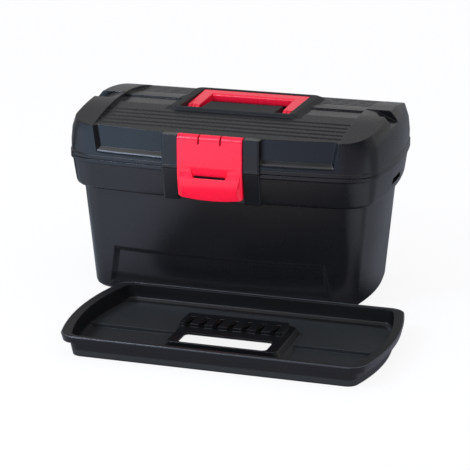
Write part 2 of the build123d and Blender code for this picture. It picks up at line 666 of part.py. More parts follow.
with BuildPart() as lid:
    # Blank of the lid under its arched top
    add(
        outline_stack(
            (SEAM_HEIGHT, 0, 0),
            (flange_top, 0, 0),
            (flange_top + LID_FLANGE_STEP, LID_FLANGE_STEP, lid_lean_at(flange_top + LID_FLANGE_STEP)),
            *rounded_ends(0, 0, CAP_ROUND_STEPS),
        )
    )
    with BuildSketch(Plane.YZ):
        with Locations((0, ARCH_TOP - arch_radius)):
            Circle(arch_radius)
    extrude(amount=BOX_LENGTH, both=True, mode=Mode.INTERSECT)
    add(fluted_recess.part, mode=Mode.SUBTRACT)
    add(front_recesses.part, mode=Mode.SUBTRACT)
    add(notch_wedges(0), mode=Mode.SUBTRACT)

    # Raised surround of the handle, with flared sides
    for height, spread in ((FLUTED_START_HEIGHT, BLOCK_FLARE), (BLOCK_TOP, 0)):
        with BuildSketch(Plane.XY.offset(height)) as block_outline:
            Polygon(
                (-BLOCK_HALF_FRONT - spread, -BLOCK_FRONT - spread / BLOCK_CORNER),
                (BLOCK_HALF_FRONT + spread, -BLOCK_FRONT - spread / BLOCK_CORNER),
                (BLOCK_HALF_REAR + spread, BLOCK_REAR + spread),
                (-BLOCK_HALF_REAR - spread, BLOCK_REAR + spread),
                align=None,
            )
            fillet(block_outline.vertices(), BLOCK_CORNER)
    loft(ruled=True)

    # Latch boss, with the flange carried round it
    for grown, top in ((0, BOSS_TOP), (LID_FLANGE_STEP, flange_top)):
        with BuildSketch(Plane.XY.offset(SEAM_HEIGHT)):
            add(boss_outline(BOSS_HALF + grown, BOSS_FACE + grown, channel_back))
        extrude(amount=top - SEAM_HEIGHT)

    # Knuckles of the two rear hinges
    for centre in (-HINGE_OFFSET, HINGE_OFFSET):
        with BuildSketch(Plane.YZ.offset(centre - HINGE_KNUCKLE / 2)):
            with Locations((HINGE_DEPTH, SEAM_HEIGHT)):
                Circle(HINGE_RADIUS)
            Polygon(
                (hinge_root, SEAM_HEIGHT),
                (HINGE_DEPTH, SEAM_HEIGHT),
                (HINGE_DEPTH + HINGE_RADIUS / 2, SEAM_HEIGHT + HINGE_RADIUS * sqrt(3) / 2),
                (hinge_root, SEAM_HEIGHT + 2 * HINGE_WEB),
                align=None,
            )
        extrude(amount=HINGE_KNUCKLE)

    add(lid_hollow.part, mode=Mode.SUBTRACT)

    # Wall behind the latch channel, then the channel itself
    with BuildSketch(Plane.XY.offset(SEAM_HEIGHT)):
        with Locations((0, -LATCH_CHANNEL)):
            Rectangle(2 * (channel_half + WALL), WALL, align=(Align.CENTER, Align.MIN))
    extrude(amount=FLUTED_START_HEIGHT - SEAM_HEIGHT)
    with BuildSketch(Plane.XY.offset(SEAM_HEIGHT)):
        with Locations((0, -BOSS_FACE)):
            Rectangle(2 * channel_half, BOSS_FACE - LATCH_CHANNEL, align=(Align.CENTER, Align.MIN))
        with Locations((0, -BOSS_FACE)):
            Rectangle(2 * channel_half, 2 * LID_FLANGE_STEP)
    extrude(amount=lid_blank_top - SEAM_HEIGHT, mode=Mode.SUBTRACT)

    # Two lugs that carry the latch pin between its knuckles
    lug_reach = WALL / 2 - LATCH_CHANNEL - latch_pin_y
    for side in (-1, 1):
        with BuildSketch(Plane.YZ.offset(side * LATCH_SLOT_OFFSET - LUG_THICKNESS / 2)):
            with Locations((latch_pin_y, LATCH_PIN_HEIGHT)):
                Circle(lug_radius)
                Rectangle(lug_reach, 2 * lug_radius, align=(Align.MIN, Align.CENTER))
        extrude(amount=LUG_THICKNESS)
    add(cross_pin(0, latch_pin_y, LATCH_PIN_HEIGHT, LATCH_PIN_RADIUS, latch_pin_length), mode=Mode.SUBTRACT)

    # Tub of the handle pocket, with a boss round each handle pin
    tub_depth = POCKET_FRONT + POCKET_REAR + 2 * POCKET_WALL
    tub_top = fluted_height(POCKET_REAR + POCKET_WALL) - POCKET_WALL / 2
    with BuildSketch(Plane.XY.offset(POCKET_FLOOR - POCKET_WALL)):
        with Locations((0, -POCKET_FRONT - POCKET_WALL)):
            Rectangle(2 * (pocket_half + POCKET_WALL), tub_depth, align=(Align.CENTER, Align.MIN))
    extrude(amount=tub_top - POCKET_FLOOR + POCKET_WALL)
    add(
        cross_pin(
            0,
            HANDLE_PIVOT_DEPTH,
            HANDLE_PIVOT_HEIGHT,
            HANDLE_PIN_RADIUS + HANDLE_PIN_RIM,
            2 * (pocket_half + POCKET_WALL + HANDLE_PIN_BOSS),
        )
    )
    with BuildSketch(Plane.XY.offset(POCKET_FLOOR)):
        with Locations((0, -POCKET_FRONT)):
            Rectangle(2 * pocket_half, POCKET_FRONT + POCKET_REAR, align=(Align.CENTER, Align.MIN))
    extrude(amount=max(BLOCK_TOP, ARCH_TOP) + CROWN_MARGIN - POCKET_FLOOR, mode=Mode.SUBTRACT)

    # Ramp from the front of the pocket down to its floor, hollow underneath
    for skin, mode in ((0, Mode.ADD), (POCKET_WALL, Mode.SUBTRACT)):
        with BuildSketch(Plane.YZ):
            Polygon(
                (-POCKET_FRONT, POCKET_FLOOR - skin),
                (RAMP_REAR - 2 * skin, POCKET_FLOOR - skin),
                (-POCKET_FRONT, RAMP_TOP - 2 * skin),
                align=None,
            )
        extrude(amount=RAMP_HALF - skin, both=True, mode=mode)
    for side in (-1, 1):
        add(handle_pin_rod(side), mode=Mode.SUBTRACT)
    add(hinge_bores(HINGE_PIN_RADIUS + RUNNING_FIT), mode=Mode.SUBTRACT)

lid.part.label = "lid"
export_step(lid.part, "parts/lid.step")


# ---------------------------------------------------------------- latch
latch_back = LATCH_THICKNESS - LATCH_FACE
latch_foot_back = LATCH_THICKNESS - LATCH_FOOT_FACE
scoop_back = SCOOP_DEPTH - LATCH_FACE
slit_back = SCOOP_SLIT_DEPTH - LATCH_FACE
slit_foot = SCOOP_SLIT - SCOOP_SLIT_HEIGHT
latch_tip = LATCH_PIN_HEIGHT + LATCH_BARREL_RADIUS

with BuildPart() as latch_pad:
    # Raised pad that narrows and falls back towards the foot
    with BuildSketch(Plane.XZ.offset(LATCH_FOOT_FACE)):
        with Locations((0, LATCH_FOOT)):
            Rectangle(2 * LATCH_HALF, PAD_TOP - LATCH_FOOT, align=(Align.CENTER, Align.MIN))
    with BuildSketch(Plane.XZ.offset(PAD_FACE)):
        Polygon(
            (-PAD_HALF_FOOT, LATCH_FOOT),
            (PAD_HALF_FOOT, LATCH_FOOT),
            (PAD_HALF_TOP, PAD_TOP),
            (-PAD_HALF_TOP, PAD_TOP),
            align=None,
        )
    loft(ruled=True)
    with BuildSketch(Plane.YZ):
        Polygon(
            (latch_back, PAD_TOP),
            (-LATCH_FACE, PAD_TOP),
            (-PAD_FACE, PAD_LIP),
            (-PAD_FACE, PAD_BREAK),
            (-PAD_FOOT_FACE, LATCH_FOOT),
            (latch_foot_back, LATCH_FOOT),
            align=None,
        )
    extrude(amount=LATCH_HALF, both=True, mode=Mode.INTERSECT)

with BuildPart() as latch_scoop:
    # Finger scoop that deepens down to a slit
    with BuildSketch(Plane.YZ):
        Polygon(
            (-LATCH_FACE, SCOOP_TOP),
            (scoop_back, SCOOP_SLIT),
            (slit_back, SCOOP_SLIT),
            (slit_back, slit_foot),
            (-LATCH_FACE, slit_foot),
            (-LATCH_FACE, SCOOP_SLIT),
            (-PAD_FACE - SCOOP_RIM, SCOOP_SLIT),
            (-PAD_FACE - SCOOP_RIM, SCOOP_TOP),
            align=None,
        )
    extrude(amount=LATCH_HALF, both=True)
    with BuildSketch(Plane.XZ.offset(PAD_FACE + SCOOP_RIM)):
        Polygon(
            (-SCOOP_HALF_TOP, SCOOP_TOP),
            (SCOOP_HALF_TOP, SCOOP_TOP),
            (SCOOP_HALF_FOOT, slit_foot),
            (-SCOOP_HALF_FOOT, slit_foot),
            align=None,
        )
    extrude(amount=-LATCH_FACE, mode=Mode.INTERSECT)

with BuildPart() as latch:
    # Plate that curves back to its foot, and the barrel at its top
    with BuildSketch(Plane.YZ):
        with BuildLine():
            face = Line((-LATCH_FACE, LATCH_PIN_HEIGHT), (-LATCH_FACE, LATCH_BEND))
            face_curve = TangentArc(face @ 1, (-LATCH_FOOT_FACE, LATCH_FOOT), tangent=face % 1)
            back = Line((latch_back, LATCH_PIN_HEIGHT), (latch_back, LATCH_BEND))
            back_curve = TangentArc(back @ 1, (latch_foot_back, LATCH_FOOT), tangent=back % 1)
            Line(face @ 0, back @ 0)
            Line(face_curve @ 1, back_curve @ 1)
        make_face()
        with Locations((latch_pin_y, LATCH_PIN_HEIGHT)):
            Circle(LATCH_BARREL_RADIUS)
    extrude(amount=LATCH_HALF, both=True)
    add(latch_pad.part)

    # Side flanges, and the plastic behind the scoop
    for side in (-1, 1):
        with BuildSketch(Plane.YZ.offset(side * (LATCH_HALF - LATCH_FLANGE))):
            Polygon(
                (latch_back, LATCH_FLANGE_TOP),
                (-LATCH_FLANGE_BACK, LATCH_BEND),
                (-LATCH_FLANGE_BACK, LATCH_FOOT),
                (latch_foot_back - LATCH_THICKNESS / 2, LATCH_FOOT),
                (latch_back - LATCH_THICKNESS / 2, LATCH_BEND),
                (latch_back - LATCH_THICKNESS / 2, LATCH_FLANGE_TOP),
                align=None,
            )
        extrude(amount=side * LATCH_FLANGE)
    with BuildSketch(Plane.YZ):
        Polygon(
            (latch_back - LATCH_THICKNESS / 2, SCOOP_TOP),
            (latch_back, SCOOP_TOP),
            (slit_back + SCOOP_RIM, SCOOP_SLIT + SCOOP_RIM),
            (slit_back + SCOOP_RIM, slit_foot - SCOOP_RIM),
            (latch_back - LATCH_THICKNESS / 2, slit_foot - SCOOP_RIM),
            align=None,
        )
    extrude(amount=SCOOP_HALF_TOP + SCOOP_RIM, both=True)
    add(latch_scoop.part, mode=Mode.SUBTRACT)

    # Hook that snaps behind the catch rib
    with BuildSketch(Plane.YZ):
        Polygon(
            (latch_back - LATCH_THICKNESS / 2, CATCH_HEIGHT + CATCH_THICKNESS),
            (hook_tip, CATCH_HEIGHT + CATCH_THICKNESS / 2),
            (hook_tip, CATCH_HEIGHT),
            (latch_back, CATCH_HEIGHT - CATCH_THICKNESS),
            align=None,
        )
    extrude(amount=CATCH_HALF, both=True)

    # Curved foot with rounded corners
    with BuildSketch(Plane.XZ) as front_outline:
        with BuildLine():
            foot = ThreePointArc(
                (-LATCH_HALF, LATCH_FOOT + LATCH_FOOT_RISE),
                (0, LATCH_FOOT),
                (LATCH_HALF, LATCH_FOOT + LATCH_FOOT_RISE),
            )
            Polyline(foot @ 1, (LATCH_HALF, latch_tip), (-LATCH_HALF, latch_tip), foot @ 0)
        make_face()
        fillet(front_outline.vertices().group_by(Axis.Y)[0], LATCH_CORNER)
    extrude(amount=BOX_DEPTH, both=True, mode=Mode.INTERSECT)

    # Slots between the three knuckles
    with BuildSketch(Plane.XZ.offset(LATCH_FACE)):
        with Locations((-LATCH_SLOT_OFFSET, LATCH_SLOT_FOOT), (LATCH_SLOT_OFFSET, LATCH_SLOT_FOOT)):
            Rectangle(LATCH_SLOT_WIDTH, latch_tip - LATCH_SLOT_FOOT, align=(Align.CENTER, Align.MIN))
    extrude(amount=-3 * LATCH_BARREL_RADIUS, mode=Mode.SUBTRACT)
    add(
        cross_pin(0, latch_pin_y, LATCH_PIN_HEIGHT, LATCH_PIN_RADIUS + RUNNING_FIT, 4 * LATCH_HALF),
        mode=Mode.SUBTRACT,
    )

latch.part.label = "latch"
export_step(latch.part, "parts/latch.step")


# ---------------------------------------------------------------- carry handle
handle_foot_under = HANDLE_PIVOT_HEIGHT - HANDLE_FOOT_RADIUS
handle_foot_top = HANDLE_PIVOT_HEIGHT + HANDLE_FOOT_RADIUS
with BuildPart() as carry_handle:
    with BuildSketch(Plane.YZ):
        with Locations((HANDLE_PIVOT_DEPTH, HANDLE_PIVOT_HEIGHT)):
            Circle(HANDLE_FOOT_RADIUS)
        Polygon(
            (HANDLE_PIVOT_DEPTH, handle_foot_top),
            (HANDLE_REAR, HANDLE_TOP),
            (HANDLE_REAR, HANDLE_TOP - GRIP_HEIGHT),
            (HANDLE_REAR - GRIP_DEPTH, HANDLE_TOP - GRIP_HEIGHT),
            (HANDLE_PIVOT_DEPTH, handle_foot_under),
            align=None,
        )
    extrude(amount=HANDLE_HALF, both=True)
    with BuildSketch(Plane.XY.offset(POCKET_FLOOR)):
        with Locations((0, HANDLE_REAR - GRIP_DEPTH)):
            Rectangle(2 * (HANDLE_HALF - HANDLE_ARM), BOX_DEPTH / 2, align=(Align.CENTER, Align.MAX))
    extrude(amount=BLOCK_TOP - POCKET_FLOOR, mode=Mode.SUBTRACT)
    grip_front = carry_handle.faces().filter_by(Axis.Y).sort_by(Axis.Y)[0]
    fillet(grip_front.edges().filter_by(Axis.X), GRIP_RADIUS)

    # Two grooves round the front of each foot
    for side in (-1, 1):
        for shift in (-FOOT_GROOVE_PITCH / 2, FOOT_GROOVE_PITCH / 2):
            groove = side * (HANDLE_HALF - HANDLE_ARM / 2) + shift - FOOT_GROOVE / 2
            with BuildSketch(Plane.YZ.offset(groove)):
                with Locations((HANDLE_PIVOT_DEPTH, HANDLE_PIVOT_HEIGHT)):
                    Circle(HANDLE_FOOT_RADIUS + FOOT_GROOVE_DEPTH)
                    Circle(HANDLE_FOOT_RADIUS - FOOT_GROOVE_DEPTH, mode=Mode.SUBTRACT)
                    Rectangle(
                        2 * HANDLE_FOOT_RADIUS,
                        4 * HANDLE_FOOT_RADIUS,
                        align=(Align.MIN, Align.CENTER),
                        mode=Mode.SUBTRACT,
                    )
            extrude(amount=FOOT_GROOVE, mode=Mode.SUBTRACT)
    add(
        cross_pin(
            0,
            HANDLE_PIVOT_DEPTH,
            HANDLE_PIVOT_HEIGHT,
            HANDLE_PIN_RADIUS + RUNNING_FIT,
            4 * HANDLE_HALF,
        ),
        mode=Mode.SUBTRACT,
    )

carry_handle.part.label = "carry_handle"
export_step(carry_handle.part, "parts/carry_handle.step")


# ---------------------------------------------------------------- tray
tray_plane = Plane((TRAY_OFFSET_X, TRAY_OFFSET_Y, 0))
lip_foot = TRAY_HEIGHT - TRAY_LIP_HEIGHT


def tray_insets_at(height: float) -> tuple[float, float]:
    """Insets of the drafted outer walls of the tray at a height, at the ends and at the sides."""
    fall = (lip_foot - height) / lip_foot
    return TRAY_END_OVERHANG + TRAY_END_DRAFT * fall, TRAY_SIDE_OVERHANG + TRAY_SIDE_DRAFT * fall


def tray_stack(*levels: tuple[float, float, float]) -> Part:
    """Solid through outlines of the tray, each given as height, end inset and side inset."""
    with BuildPart() as stack:
        for pair in zip(levels, levels[1:]):
            for height, end_inset, side_inset in pair:
                with BuildSketch(tray_plane.offset(height)):
                    add(tray_outline(end_inset, side_inset))
            loft(ruled=True)
    return stack.part


def tray_room(floor: float, wall: float) -> Part:
    """Room between the walls of the tray over a floor, up to the foot of the lip."""
    end_foot, side_foot = tray_insets_at(floor)
    end_cove, side_cove = tray_insets_at(floor + TRAY_FLOOR_COVE)
    return tray_stack(
        (floor, end_foot + wall + TRAY_FLOOR_COVE, side_foot + wall + TRAY_FLOOR_COVE),
        (floor + TRAY_FLOOR_COVE, end_cove + wall, side_cove + wall),
        (lip_foot, TRAY_END_OVERHANG + wall, TRAY_SIDE_OVERHANG + wall),
    )


def hold_block(skin: float) -> Part:
    """Hand-hold block with the bit holder on it, taken in by a skin at its sides and top."""
    hold_depth = HOLDER_REAR - HOLD_FRONT
    holder_depth = HOLDER_REAR - HOLDER_FRONT
    with BuildPart() as block:
        hold_levels = ((0, HOLD_SIDE_DRAFT, HOLD_END_DRAFT), (HOLD_HEIGHT - skin, 0, 0))
        for height, side_draft, end_draft in hold_levels:
            with BuildSketch(tray_plane.offset(height)) as hold_outline:
                with Locations((0, HOLD_FRONT - end_draft + skin)):
                    Rectangle(
                        2 * (HOLD_HALF + side_draft - skin),
                        hold_depth + 2 * (end_draft - skin),
                        align=(Align.CENTER, Align.MIN),
                    )
                fillet(hold_outline.vertices(), HOLD_CORNER - skin)
        loft(ruled=True)
        for height, draft in ((0, HOLDER_DRAFT), (HOLDER_HEIGHT - skin, 0)):
            with BuildSketch(tray_plane.offset(height)) as holder_outline:
                with Locations((HOLDER_SHIFT, HOLDER_FRONT + skin)):
                    Rectangle(
                        2 * (HOLDER_HALF + draft - skin),
                        holder_depth + draft - 2 * skin,
                        align=(Align.CENTER, Align.MIN),
                    )
                fillet(holder_outline.vertices(), HOLDER_CORNER - skin)
        loft(ruled=True)
    return block.part


with BuildPart() as tray:
    # Drafted tub, and the overhanging rim with its skirt
    neck = tray_insets_at(lip_foot)
    add(tray_stack((0, *tray_insets_at(0)), (lip_foot, *neck), (TRAY_HEIGHT, *neck)))
    add(tray_stack((lip_foot, TRAY_LIP_FLARE, TRAY_LIP_FLARE), (TRAY_HEIGHT, 0, 0)))
    with BuildSketch(tray_plane.offset(lip_foot)):
        add(tray_outline(TRAY_LIP_FLARE + TRAY_LIP_WALL, TRAY_LIP_FLARE + TRAY_LIP_WALL))
        add(tray_outline(TRAY_END_OVERHANG, TRAY_SIDE_OVERHANG), mode=Mode.SUBTRACT)
    extrude(amount=TRAY_LIP_HEIGHT - TRAY_WALL, mode=Mode.SUBTRACT)

    # Room inside over the higher rear floor, then the lower front floor and the hollow under the rear one
    add(tray_room(TRAY_REAR_FLOOR, TRAY_WALL), mode=Mode.SUBTRACT)
    with BuildSketch(tray_plane.offset(lip_foot)):
        add(tray_outline(TRAY_END_OVERHANG + TRAY_WALL, TRAY_SIDE_OVERHANG + TRAY_WALL))
    extrude(amount=TRAY_LIP_HEIGHT, mode=Mode.SUBTRACT)
    with BuildSketch(tray_plane):
        with Locations((0, TRAY_STEP)):
            Rectangle(TRAY_LENGTH, TRAY_DEPTH, align=(Align.CENTER, Align.MAX))
    front_half = extrude(amount=lip_foot, mode=Mode.PRIVATE)
    add(tray_room(TRAY_FRONT_FLOOR, TRAY_WALL).intersect(front_half), mode=Mode.SUBTRACT)
    with BuildSketch(tray_plane):
        add(tray_outline(*(inset + TRAY_WALL for inset in tray_insets_at(0))))
        with Locations((0, TRAY_STEP + TRAY_WALL)):
            Rectangle(TRAY_LENGTH, TRAY_DEPTH, align=(Align.CENTER, Align.MAX), mode=Mode.SUBTRACT)
    extrude(amount=TRAY_REAR_FLOOR - TRAY_WALL, mode=Mode.SUBTRACT)

    # Hand-hold block and bit holder: a skin that is open underneath
    add(hold_block(0))
    add(hold_block(TRAY_WALL), mode=Mode.SUBTRACT)
    with BuildSketch(tray_plane.offset(HOLD_HEIGHT - 2 * TRAY_WALL)) as opening:
        with Locations((0, HOLD_OPENING_FRONT)):
            Rectangle(
                2 * HOLD_OPENING_HALF,
                HOLD_OPENING_REAR - HOLD_OPENING_FRONT,
                align=(Align.CENTER, Align.MIN),
            )
        fillet(opening.vertices(), HOLD_OPENING_CORNER)
    extrude(amount=HOLDER_HEIGHT, mode=Mode.SUBTRACT)

    # Row of bit slots, open towards the hand-hold
    with BuildSketch(tray_plane.offset(HOLD_HEIGHT)):
        with Locations((HOLDER_SHIFT, HOLDER_FRONT)):
            with GridLocations(BIT_SLOT_PITCH, 1, BIT_SLOTS, 1):
                Rectangle(BIT_SLOT_WIDTH, 2 * (BIT_SLOT_REAR - HOLDER_FRONT))
    extrude(amount=HOLDER_HEIGHT - HOLD_HEIGHT, mode=Mode.SUBTRACT)

tray.part.label = "tray"
export_step(tray.part, "parts/tray.step")


# ---------------------------------------------------------------- pins
latch_pin = cross_pin(0, latch_pin_y, LATCH_PIN_HEIGHT, LATCH_PIN_RADIUS, latch_pin_length)
latch_pin.label = "latch_pin"
export_step(latch_pin, "parts/latch_pin.step")

for side_name, side in (("left", -1), ("right", 1)):
    hinge_pin = cross_pin(side * HINGE_OFFSET, HINGE_DEPTH, SEAM_HEIGHT, HINGE_PIN_RADIUS, hinge_pin_length)
    hinge_pin.label = f"{side_name}_hinge_pin"
    export_step(hinge_pin, f"parts/{side_name}_hinge_pin.step")

    handle_pin = handle_pin_rod(side)
    handle_pin.label = f"{side_name}_handle_pin"
    export_step(handle_pin, f"parts/{side_name}_handle_pin.step")
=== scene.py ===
"""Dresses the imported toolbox: moulded finishes, studio and camera around the fixed mouldings."""

from __future__ import annotations

import logging
import math
from dataclasses import dataclass
from enum import Enum

import bmesh
import bpy
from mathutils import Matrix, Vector


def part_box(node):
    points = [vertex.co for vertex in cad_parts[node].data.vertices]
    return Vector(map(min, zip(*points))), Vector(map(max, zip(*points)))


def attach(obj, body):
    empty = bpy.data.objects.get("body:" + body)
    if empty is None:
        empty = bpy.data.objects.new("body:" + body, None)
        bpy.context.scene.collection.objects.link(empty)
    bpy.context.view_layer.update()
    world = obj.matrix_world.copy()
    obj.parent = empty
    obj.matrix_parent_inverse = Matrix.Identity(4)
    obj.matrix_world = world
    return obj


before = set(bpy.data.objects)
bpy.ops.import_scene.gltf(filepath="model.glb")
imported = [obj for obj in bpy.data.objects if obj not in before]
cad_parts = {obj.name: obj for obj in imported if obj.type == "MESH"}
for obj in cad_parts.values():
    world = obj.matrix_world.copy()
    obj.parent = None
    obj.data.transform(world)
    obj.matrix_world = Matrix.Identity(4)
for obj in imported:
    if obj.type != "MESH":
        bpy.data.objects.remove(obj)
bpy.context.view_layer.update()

LOG = logging.getLogger("toolbox")
MM = 0.001
# A face looks along an axis when the cosine between them is above this
FACING = 0.9
EDGE_SEGMENTS = 3
SMOOTH_DEGREES = 35


class Node(str, Enum):
    """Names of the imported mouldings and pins."""

    BODY = "body"
    LID = "lid"
    TRAY = "tray"
    HANDLE = "carry_handle"
    LATCH = "latch"
    LATCH_PIN = "latch_pin"
    LEFT_HINGE_PIN = "left_hinge_pin"
    RIGHT_HINGE_PIN = "right_hinge_pin"
    LEFT_HANDLE_PIN = "left_handle_pin"
    RIGHT_HANDLE_PIN = "right_handle_pin"


class Body(str, Enum):
    """Names of the bodies that pieces ride on."""

    BOX = "box"
    LID = "lid"
    LATCH = "latch"
    HANDLE = "handle"
    TRAY = "tray"


def linear(hex_colour: str) -> tuple[float, float, float, float]:
    """Turns an sRGB hex colour into linear RGBA.

    Args:
        hex_colour: Six hex digits, with or without a leading hash.

    Returns:
        Linear red, green, blue and an alpha of 1.
    """
    digits = hex_colour.lstrip("#")
    channels = []
    for start in (0, 2, 4):
        value = int(digits[start : start + 2], 16) / 255
        channels.append(value / 12.92 if value <= 0.04045 else ((value + 0.055) / 1.055) ** 2.4)
    return (channels[0], channels[1], channels[2], 1.0)


def add_node(tree: bpy.types.NodeTree, kind: str, links: dict | None = None, **settings) -> bpy.types.Node:
    """Adds one shader node with its settings and incoming links.

    Args:
        tree: Node tree that takes the node.
        kind: Blender's node type name.
        links: Input name or index to the output socket that feeds it.
        settings: Attributes of the node, or input values under their lower-case names with underscores.

    Returns:
        The new node.
    """
    node = tree.nodes.new(kind)
    by_name = {socket.name.lower().replace(" ", "_"): socket for socket in node.inputs}
    for name, value in settings.items():
        if name in by_name:
            by_name[name].default_value = value
        else:
            setattr(node, name, value)
    for target, source in (links or {}).items():
        tree.links.new(source, node.inputs[target])
    return node


def add_soft_edge(
    tree: bpy.types.NodeTree, place: bpy.types.NodeSocket, edge: float, sign: float, soft: float
) -> bpy.types.NodeSocket:
    """Makes a mask that turns from 0 to 1 across one edge.

    Args:
        tree: Node tree that takes the node.
        place: Socket with the coordinate.
        edge: Coordinate of the edge.
        sign: 1 where the mask is 1 above the edge, -1 where it is 1 below.
        soft: Half the width of the turn.

    Returns:
        A socket from 0 to 1.
    """
    side = add_node(tree, "ShaderNodeMapRange", {"Value": place}, interpolation_type="SMOOTHSTEP")
    side.inputs["From Min"].default_value = edge - sign * soft
    side.inputs["From Max"].default_value = edge + sign * soft
    return side.outputs["Result"]


# ---------------------------------------------------------------- finishes
@dataclass(frozen=True)
class MattZone:
    """Part of a moulding with a duller finish, as a box in metres with soft sides; a colour, where given, is
    painted light and shade.
    """

    low: tuple[float, float, float]
    high: tuple[float, float, float]
    roughness: float = 0.6
    soft: float = 0.0008
    # Painted light and shade over the moulding's own colour, where given
    colour: str | None = None

    def build(self, tree: bpy.types.NodeTree, place: bpy.types.NodeSocket) -> bpy.types.NodeSocket:
        """Makes the mask of the zone.

        Args:
            tree: Node tree of the finish.
            place: Object coordinates.

        Returns:
            A socket of 1 inside the zone and 0 outside.
        """
        axes = add_node(tree, "ShaderNodeSeparateXYZ", {0: place})
        mask = None
        for axis in range(3):
            for edge, sign in ((self.low[axis], 1.0), (self.high[axis], -1.0)):
                side = add_soft_edge(tree, axes.outputs[axis], edge, sign, self.soft)
                if mask is None:
                    mask = side
                else:
                    both = add_node(tree, "ShaderNodeMath", {0: mask, 1: side}, operation="MULTIPLY")
                    mask = both.outputs[0]
        return mask


@dataclass(frozen=True)
class MouldedPolypropylene:
    """Injection-moulded polypropylene: a satin skin with the fine grain of a spark-eroded mould."""

    name: str
    colour: str
    shade: str
    roughness: float
    grain_mm: float = 0.55
    grain_depth_mm: float = 0.012
    flow_mm: float = 42.0
    roughness_spread: float = 0.03
    edge_mm: float = 1.2
    specular: float = 0.5
    matt: tuple[MattZone, ...] = ()
    ior: float = 1.49
    flow_range: tuple[float, float] = (0.3, 0.7)
    flow_detail: float = 3.0
    grain_detail: float = 2.0
    edge_samples: int = 8

    def build(self) -> bpy.types.Material:
        """Makes the material."""
        material = bpy.data.materials.new(self.name)
        material.use_nodes = True
        tree = material.node_tree
        tree.nodes.clear()
        place = add_node(tree, "ShaderNodeTexCoord").outputs["Object"]
        # Slow flow of the melt gives the eye faint clouds in colour and gloss
        flow = add_node(
            tree,
            "ShaderNodeTexNoise",
            {"Vector": place},
            scale=1 / (self.flow_mm * MM),
            detail=self.flow_detail,
        )
        colour = add_node(tree, "ShaderNodeMix", {0: flow.outputs["Fac"]}, data_type="RGBA")
        colour.inputs[6].default_value = linear(self.colour)
        colour.inputs[7].default_value = linear(self.shade)
        gloss = add_node(tree, "ShaderNodeMapRange", {"Value": flow.outputs["Fac"]})
        gloss.inputs["From Min"].default_value, gloss.inputs["From Max"].default_value = self.flow_range
        gloss.inputs["To Min"].default_value = self.roughness - self.roughness_spread
        gloss.inputs["To Max"].default_value = self.roughness + self.roughness_spread
        roughness, base = gloss.outputs["Result"], colour.outputs[2]
        for matt in self.matt:
            zone = matt.build(tree, place)
            duller = add_node(tree, "ShaderNodeMix", {0: zone, 2: roughness})
            duller.inputs[3].default_value = matt.roughness
            roughness = duller.outputs[0]
            # The zone's colour is painted light and shade, laid over the moulding's own colour
            if matt.colour:
                painted_light_and_shade = add_node(tree, "ShaderNodeMix", {0: zone, 6: base}, data_type="RGBA")
                painted_light_and_shade.inputs[7].default_value = linear(matt.colour)
                base = painted_light_and_shade.outputs[2]
        # Grain of the mould wall, drawn a little coarser than real so that it shows
        grain = add_node(
            tree,
            "ShaderNodeTexNoise",
            {"Vector": place},
            scale=1 / (self.grain_mm * MM),
            detail=self.grain_detail,
        )
        # The rounded edges of a moulding catch a line of light; only the shading is rounded here
        edges = add_node(tree, "ShaderNodeBevel", samples=self.edge_samples, radius=self.edge_mm * MM)
        bump = add_node(
            tree,
            "ShaderNodeBump",
            {"Height": grain.outputs["Fac"], "Normal": edges.outputs["Normal"]},
            strength=1.0,
            distance=self.grain_depth_mm * MM,
        )
        shader = add_node(
            tree,
            "ShaderNodeBsdfPrincipled",
            {"Base Color": base, "Roughness": roughness, "Normal": bump.outputs["Normal"]},
            metallic=0.0,
            ior=self.ior,
        )
        shader.inputs["Specular IOR Level"].default_value = self.specular
        add_node(tree, "ShaderNodeOutputMaterial", {"Surface": shader.outputs["BSDF"]})
        return material


@dataclass(frozen=True)
class DrawnSteelWire:
    """Steel wire: bright metal with fine draw lines along its length."""

    name: str = "drawn_steel_wire"
    colour: str = "C4C6C8"
    roughness: float = 0.3
    line_mm: float = 0.25
    line_stretch: float = 0.04
    line_strength: float = 0.4
    line_depth_mm: float = 0.02

    def build(self) -> bpy.types.Material:
        """Makes the material."""
        material = bpy.data.materials.new(self.name)
        material.use_nodes = True
        tree = material.node_tree
        tree.nodes.clear()
        place = add_node(tree, "ShaderNodeTexCoord").outputs["Object"]
        # Draw lines run along the wire, so the pattern is stretched along X
        stretched = add_node(tree, "ShaderNodeMapping", {"Vector": place}, scale=(self.line_stretch, 1.0, 1.0))
        lines = add_node(
            tree, "ShaderNodeTexNoise", {"Vector": stretched.outputs["Vector"]}, scale=1 / (self.line_mm * MM)
        )
        bump = add_node(
            tree,
            "ShaderNodeBump",
            {"Height": lines.outputs["Fac"]},
            strength=self.line_strength,
            distance=self.line_depth_mm * MM,
        )
        shader = add_node(
            tree,
            "ShaderNodeBsdfPrincipled",
            {"Normal": bump.outputs["Normal"]},
            base_color=linear(self.colour),
            metallic=1.0,
            roughness=self.roughness,
        )
        add_node(tree, "ShaderNodeOutputMaterial", {"Surface": shader.outputs["BSDF"]})
        return material


